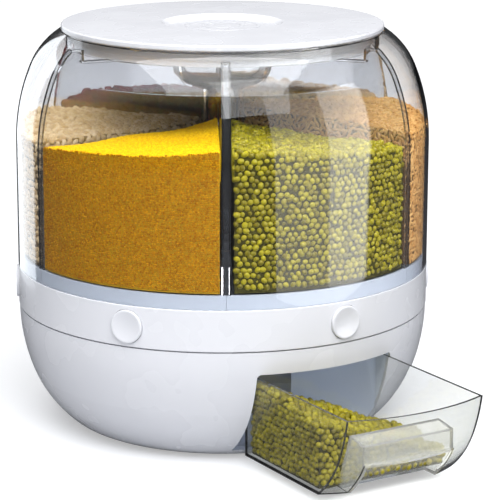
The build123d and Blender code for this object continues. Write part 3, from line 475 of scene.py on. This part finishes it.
def fill_drawer():
    """A body under the heap, and beans over its top and against the clear walls."""
    food = foods[0]
    rng = np.random.default_rng(40)
    shape = grain_shape(food["segments"], food["rings"], food["size"])
    half = food["size"][2] / 2
    inset = tray_wall + half + clearance
    left, right = tray_low[0] + inset, tray_high[0] - inset
    rear = tray_high[1] - inset
    front = rear - drawer_heap_length
    floor_z = tray_low[2] + tray_wall
    xs = np.linspace(left, right, 22)
    ys = np.linspace(front, rear, 20)
    verts = [(x, y, max(drawer_heap(x, y) - half, floor_z + 0.8)) for y in ys for x in xs]
    verts += [(x, y, floor_z + 0.4) for y in ys for x in xs]
    faces = closed_faces(len(xs), len(ys), False)
    piece = new_piece("drawer_beans_body", verts, faces, food["gaps"])
    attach(piece, "drawer")

    flat = spread(right - left, rear - front, food["step"], rng)
    spots = np.array([(left + u, front + v, drawer_heap(left + u, front + v)) for u, v in flat])
    spots = spots[spots[:, 2] > floor_z + half]
    spots[:, 2] += rng.normal(0, 0.5, len(spots)) - half * 0.4
    up = np.tile(np.array([0.0, 0.0, 1.0]), (len(spots), 1))
    lay_grains("drawer_beans_on_top", shape, spots, up, rng, loose_tilt, food["material"], "drawer")

    spots, normals = [], []
    for u, v in spread(rear - front, drawer_height, food["step"], rng):
        for x, side in ((left, -1.0), (right, 1.0)):
            if floor_z + half + v < drawer_heap(x, front + u):
                spots.append((x, front + u, floor_z + half + v))
                normals.append((side, 0, 0))
    for u, v in spread(right - left, drawer_height, food["step"], rng):
        if floor_z + half + v < drawer_heap(left + u, front):
            spots.append((left + u, front, floor_z + half + v))
            normals.append((0, -1.0, 0))
    lay_grains("drawer_beans_at_wall", shape, np.array(spots), np.array(normals), rng, pressed_tilt,
               food["material"], "drawer")


fill_drawer()


# Fine raised rings in the lid's dish
def dish_rings():
    """Low, broad rings that stand on the dish's floor."""
    height, half_width = 0.15, 1.5
    for number, radius in enumerate((14.0, 26.0), start=1):
        clear_selection()
        bpy.ops.mesh.primitive_torus_add(
            major_segments=128, minor_segments=16, major_radius=radius * mm, minor_radius=half_width * mm,
            location=(0, 0, (lid_top_z - dish_depth + height) * mm))
        ring = bpy.context.object
        ring.scale = (1, 1, height / half_width)
        ring.name = f"dish_ring_{number}"
        bpy.ops.object.transform_apply(location=True, rotation=True, scale=True)
        bpy.ops.object.shade_smooth()
        ring.data.materials.append(white_plastic)
        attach(ring, "lid")


dish_rings()


# Floor, light and camera
photo_azimuth = -31.0
photo_elevation = 12.96
aim = Vector((0, 0, 0.15))


def math_node(tree, operation, first, second):
    """The result for two values, each of them an output or a number."""
    node = tree.nodes.new("ShaderNodeMath")
    node.operation = operation
    for entry, value in zip(node.inputs, (first, second)):
        if isinstance(value, float):
            entry.default_value = value
        else:
            tree.links.new(value, entry)
    return node.outputs["Value"]


def view_values(tree):
    """Two values of 0 or 1: seen plainly or through clear plastic, and seen in a mirroring face."""
    path = tree.nodes.new("ShaderNodeLightPath")
    mirrors, scatters = path.outputs["Glossy Depth"], path.outputs["Diffuse Depth"]
    either = math_node(tree, "MAXIMUM", path.outputs["Is Camera Ray"], path.outputs["Is Transmission Ray"])
    straight = math_node(tree, "LESS_THAN", math_node(tree, "ADD", mirrors, scatters), 0.5)
    return math_node(tree, "MULTIPLY", either, straight), math_node(tree, "GREATER_THAN", mirrors, 0.5)


def floor_and_world():
    """Pale floor that takes the shadow, and a white surround that mirrors show darker."""
    clear_selection()
    bpy.ops.mesh.primitive_plane_add(size=12)
    floor = bpy.context.object
    floor.name = "floor"
    material, tree, shader = new_material("pale_floor")
    shader.inputs["Roughness"].default_value = 0.9
    shader.inputs["Specular IOR Level"].default_value = 0.0
    plain, mirrored = view_values(tree)
    tone = tree.nodes.new("ShaderNodeMix")
    tone.data_type = "RGBA"
    tone.inputs["A"].default_value = (0.62, 0.63, 0.65, 1)
    tone.inputs["B"].default_value = (0.05, 0.05, 0.055, 1)
    tree.links.new(mirrored, tone.inputs["Factor"])
    tree.links.new(tone.outputs["Result"], shader.inputs["Base Color"])
    place = tree.nodes.new("ShaderNodeTexCoord")
    away = tree.nodes.new("ShaderNodeVectorMath")
    away.operation = "LENGTH"
    tree.links.new(place.outputs["Object"], away.inputs[0])
    far = tree.nodes.new("ShaderNodeMapRange")
    far.inputs["From Min"].default_value = 0.3
    far.inputs["From Max"].default_value = 1.6
    far.inputs["To Min"].default_value = 0.42
    far.inputs["To Max"].default_value = 0.85
    tree.links.new(away.outputs["Value"], far.inputs["Value"])
    glow = math_node(tree, "MULTIPLY", plain, far.outputs["Result"])
    tree.links.new(glow, shader.inputs["Emission Strength"])
    floor.data.materials.append(material)
    world = bpy.data.worlds.new("white_surround")
    bpy.context.scene.world = world
    world.use_nodes = True
    tree = world.node_tree
    plain, mirrored = view_values(tree)
    lit = tree.nodes["Background"]
    lit.inputs["Color"].default_value = (0.94, 0.96, 1.0, 1)
    dim = tree.nodes.new("ShaderNodeMapRange")
    dim.inputs["To Min"].default_value = 0.16
    dim.inputs["To Max"].default_value = 0.05
    tree.links.new(mirrored, dim.inputs["Value"])
    tree.links.new(dim.outputs["Result"], lit.inputs["Strength"])
    white = tree.nodes.new("ShaderNodeBackground")
    white.inputs["Strength"].default_value = 1.0
    mix = tree.nodes.new("ShaderNodeMixShader")
    tree.links.new(plain, mix.inputs["Fac"])
    tree.links.new(lit.outputs["Background"], mix.inputs[1])
    tree.links.new(white.outputs["Background"], mix.inputs[2])
    tree.links.new(mix.outputs["Shader"], tree.nodes["World Output"].inputs["Surface"])


def towards(azimuth, elevation):
    a, e = radians(azimuth), radians(elevation)
    return Vector((sin(a) * cos(e), -cos(a) * cos(e), sin(e)))


def softbox(name, azimuth, elevation, distance, width, height, power, highlight, colour=(1, 1, 1)):
    """Area light at an azimuth, elevation and distance, facing the dispenser.

    As a highlight it only shows in mirroring faces; otherwise it only lights.
    """
    light = bpy.data.lights.new(name, "AREA")
    light.shape = "RECTANGLE"
    light.size, light.size_y = width, height
    light.energy = power
    light.color = colour
    lamp = bpy.data.objects.new(name, light)
    away = towards(azimuth, elevation)
    lamp.location = aim + away * distance
    lamp.rotation_euler = away.to_track_quat("Z", "Y").to_euler()
    lamp.visible_camera = False
    lamp.visible_diffuse = not highlight
    lamp.visible_glossy = highlight
    bpy.context.scene.collection.objects.link(lamp)


floor_and_world()
softbox("right_card", photo_azimuth + 50, 11, 0.47, 0.46, 0.46, 0.7, True)
softbox("right_strip", photo_azimuth + 64, 11, 0.50, 0.22, 0.46, 0.5, True)
softbox("left_rim_card", photo_azimuth - 127, 8, 0.42, 0.25, 0.4, 0.5, True, (0.90, 0.95, 1.0))
softbox("top_softbox", photo_azimuth + 2, 70, 1.7, 2.0, 2.0, 54, False)
softbox("front_softbox", photo_azimuth + 20, 42, 1.6, 1.0, 1.0, 9, False)


def photo_camera():
    """Camera at the photograph's place, from the fit of its rings and outline."""
    camera = bpy.data.cameras.new("photo_camera")
    camera.lens = 161.4
    camera.sensor_width = 36.0
    camera.shift_x = 0.055
    camera.shift_y = -0.073
    camera.clip_end = 50
    holder = bpy.data.objects.new("photo_camera", camera)
    away = towards(photo_azimuth, photo_elevation)
    holder.location = aim + away * 1.648
    holder.rotation_euler = away.to_track_quat("Z", "Y").to_euler()
    bpy.context.scene.collection.objects.link(holder)
    bpy.context.scene.camera = holder


photo_camera()
bpy.context.scene.view_settings.view_transform = "Standard"
